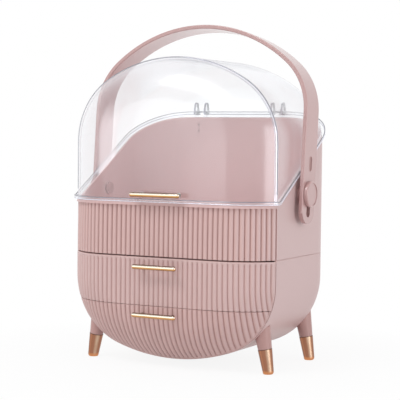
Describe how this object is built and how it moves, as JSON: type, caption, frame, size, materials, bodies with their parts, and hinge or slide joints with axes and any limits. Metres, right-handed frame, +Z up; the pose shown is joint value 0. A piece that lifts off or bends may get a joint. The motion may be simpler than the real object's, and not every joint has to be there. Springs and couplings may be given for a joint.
{
  "type": "makeup storage case with handle",
  "caption": "Capsule-shaped cosmetics case on splayed legs: clear hinged cover over an open compartment, fluted drawers with bar pulls, swinging arched carry handle",
  "frame": {"origin": "centre of the bounding box on the ground under the leg caps", "axes": "+Z up, front with the drawers towards -Y, width along X"},
  "size_m": [0.3118, 0.23, 0.4231],
  "materials": {
    "pink_shell": "satin dusty pink",
    "pink_front": "satin dusty pink, fluted",
    "pink_tray": "matt dusty pink",
    "pink_handle": "satin dusty pink",
    "clear_cover": "clear, polished",
    "rose_gold": "polished rose gold plating",
    "copper_cap": "polished copper plating",
    "steel": "zinc plated"
  },
  "bodies": {
    "case": {"upper_shell": "pink_shell", "lower_shell": "pink_shell", "shell_screws": "steel", "drawer_shelf": "pink_tray", "middle_runner_left": "pink_tray", "middle_runner_right": "pink_tray", "lower_runner_left": "pink_tray", "lower_runner_right": "pink_tray", "lower_skid_left": "pink_tray", "lower_skid_right": "pink_tray", "pivot_boss_left": "pink_handle", "pivot_boss_right": "pink_handle", "hinge_bracket_left": "clear_cover", "hinge_bracket_right": "clear_cover", "hinge_pin_left": "steel", "hinge_pin_right": "steel", "bracket_screws": "steel", "leg_front_left": "pink_shell", "leg_front_right": "pink_shell", "leg_rear_left": "pink_shell", "leg_rear_right": "pink_shell", "leg_cap_front_left": "copper_cap", "leg_cap_front_right": "copper_cap", "leg_cap_rear_left": "copper_cap", "leg_cap_rear_right": "copper_cap", "leg_studs": "steel", "leg_nuts": "steel"},
    "cover": {"cover": "clear_cover", "cover_pull": "rose_gold", "cover_pull_screws": "steel"},
    "middle_drawer": {"middle_drawer_front": "pink_front", "middle_drawer_tray": "pink_tray", "middle_drawer_pull": "rose_gold", "middle_pull_screws": "steel"},
    "lower_drawer": {"lower_drawer_front": "pink_front", "lower_drawer_tray": "pink_tray", "lower_drawer_pull": "rose_gold", "lower_pull_screws": "steel"},
    "handle_pivots": {"pivot_knob_left": "pink_handle", "pivot_knob_right": "pink_handle", "pivot_clip_left": "pink_handle", "pivot_clip_right": "pink_handle"},
    "handle": {"handle_band": "pink_handle"}
  },
  "joints": [
    {"name": "cover_hinge", "type": "hinge", "parent": "case", "child": "cover", "pos_m": [0, 0.1105, 0.3155], "axis": [-1, 0, 0], "range_deg": [0, 16]},
    {"name": "middle_drawer_slide", "type": "slide", "parent": "case", "child": "middle_drawer", "axis": [0, -1, 0], "range_m": [0, 0.11]},
    {"name": "lower_drawer_slide", "type": "slide", "parent": "case", "child": "lower_drawer", "axis": [0, -1, 0], "range_m": [0, 0.11]},
    {"name": "handle_turn", "type": "hinge", "parent": "case", "child": "handle_pivots", "pos_m": [0, 0.002, 0.214], "axis": [-1, 0, 0], "range_deg": [-100, 100]},
    {"name": "handle_lift", "type": "slide", "parent": "handle_pivots", "child": "handle", "axis": [0, 0.0872, 0.9962], "range_m": [0, 0.022]}
  ]
}
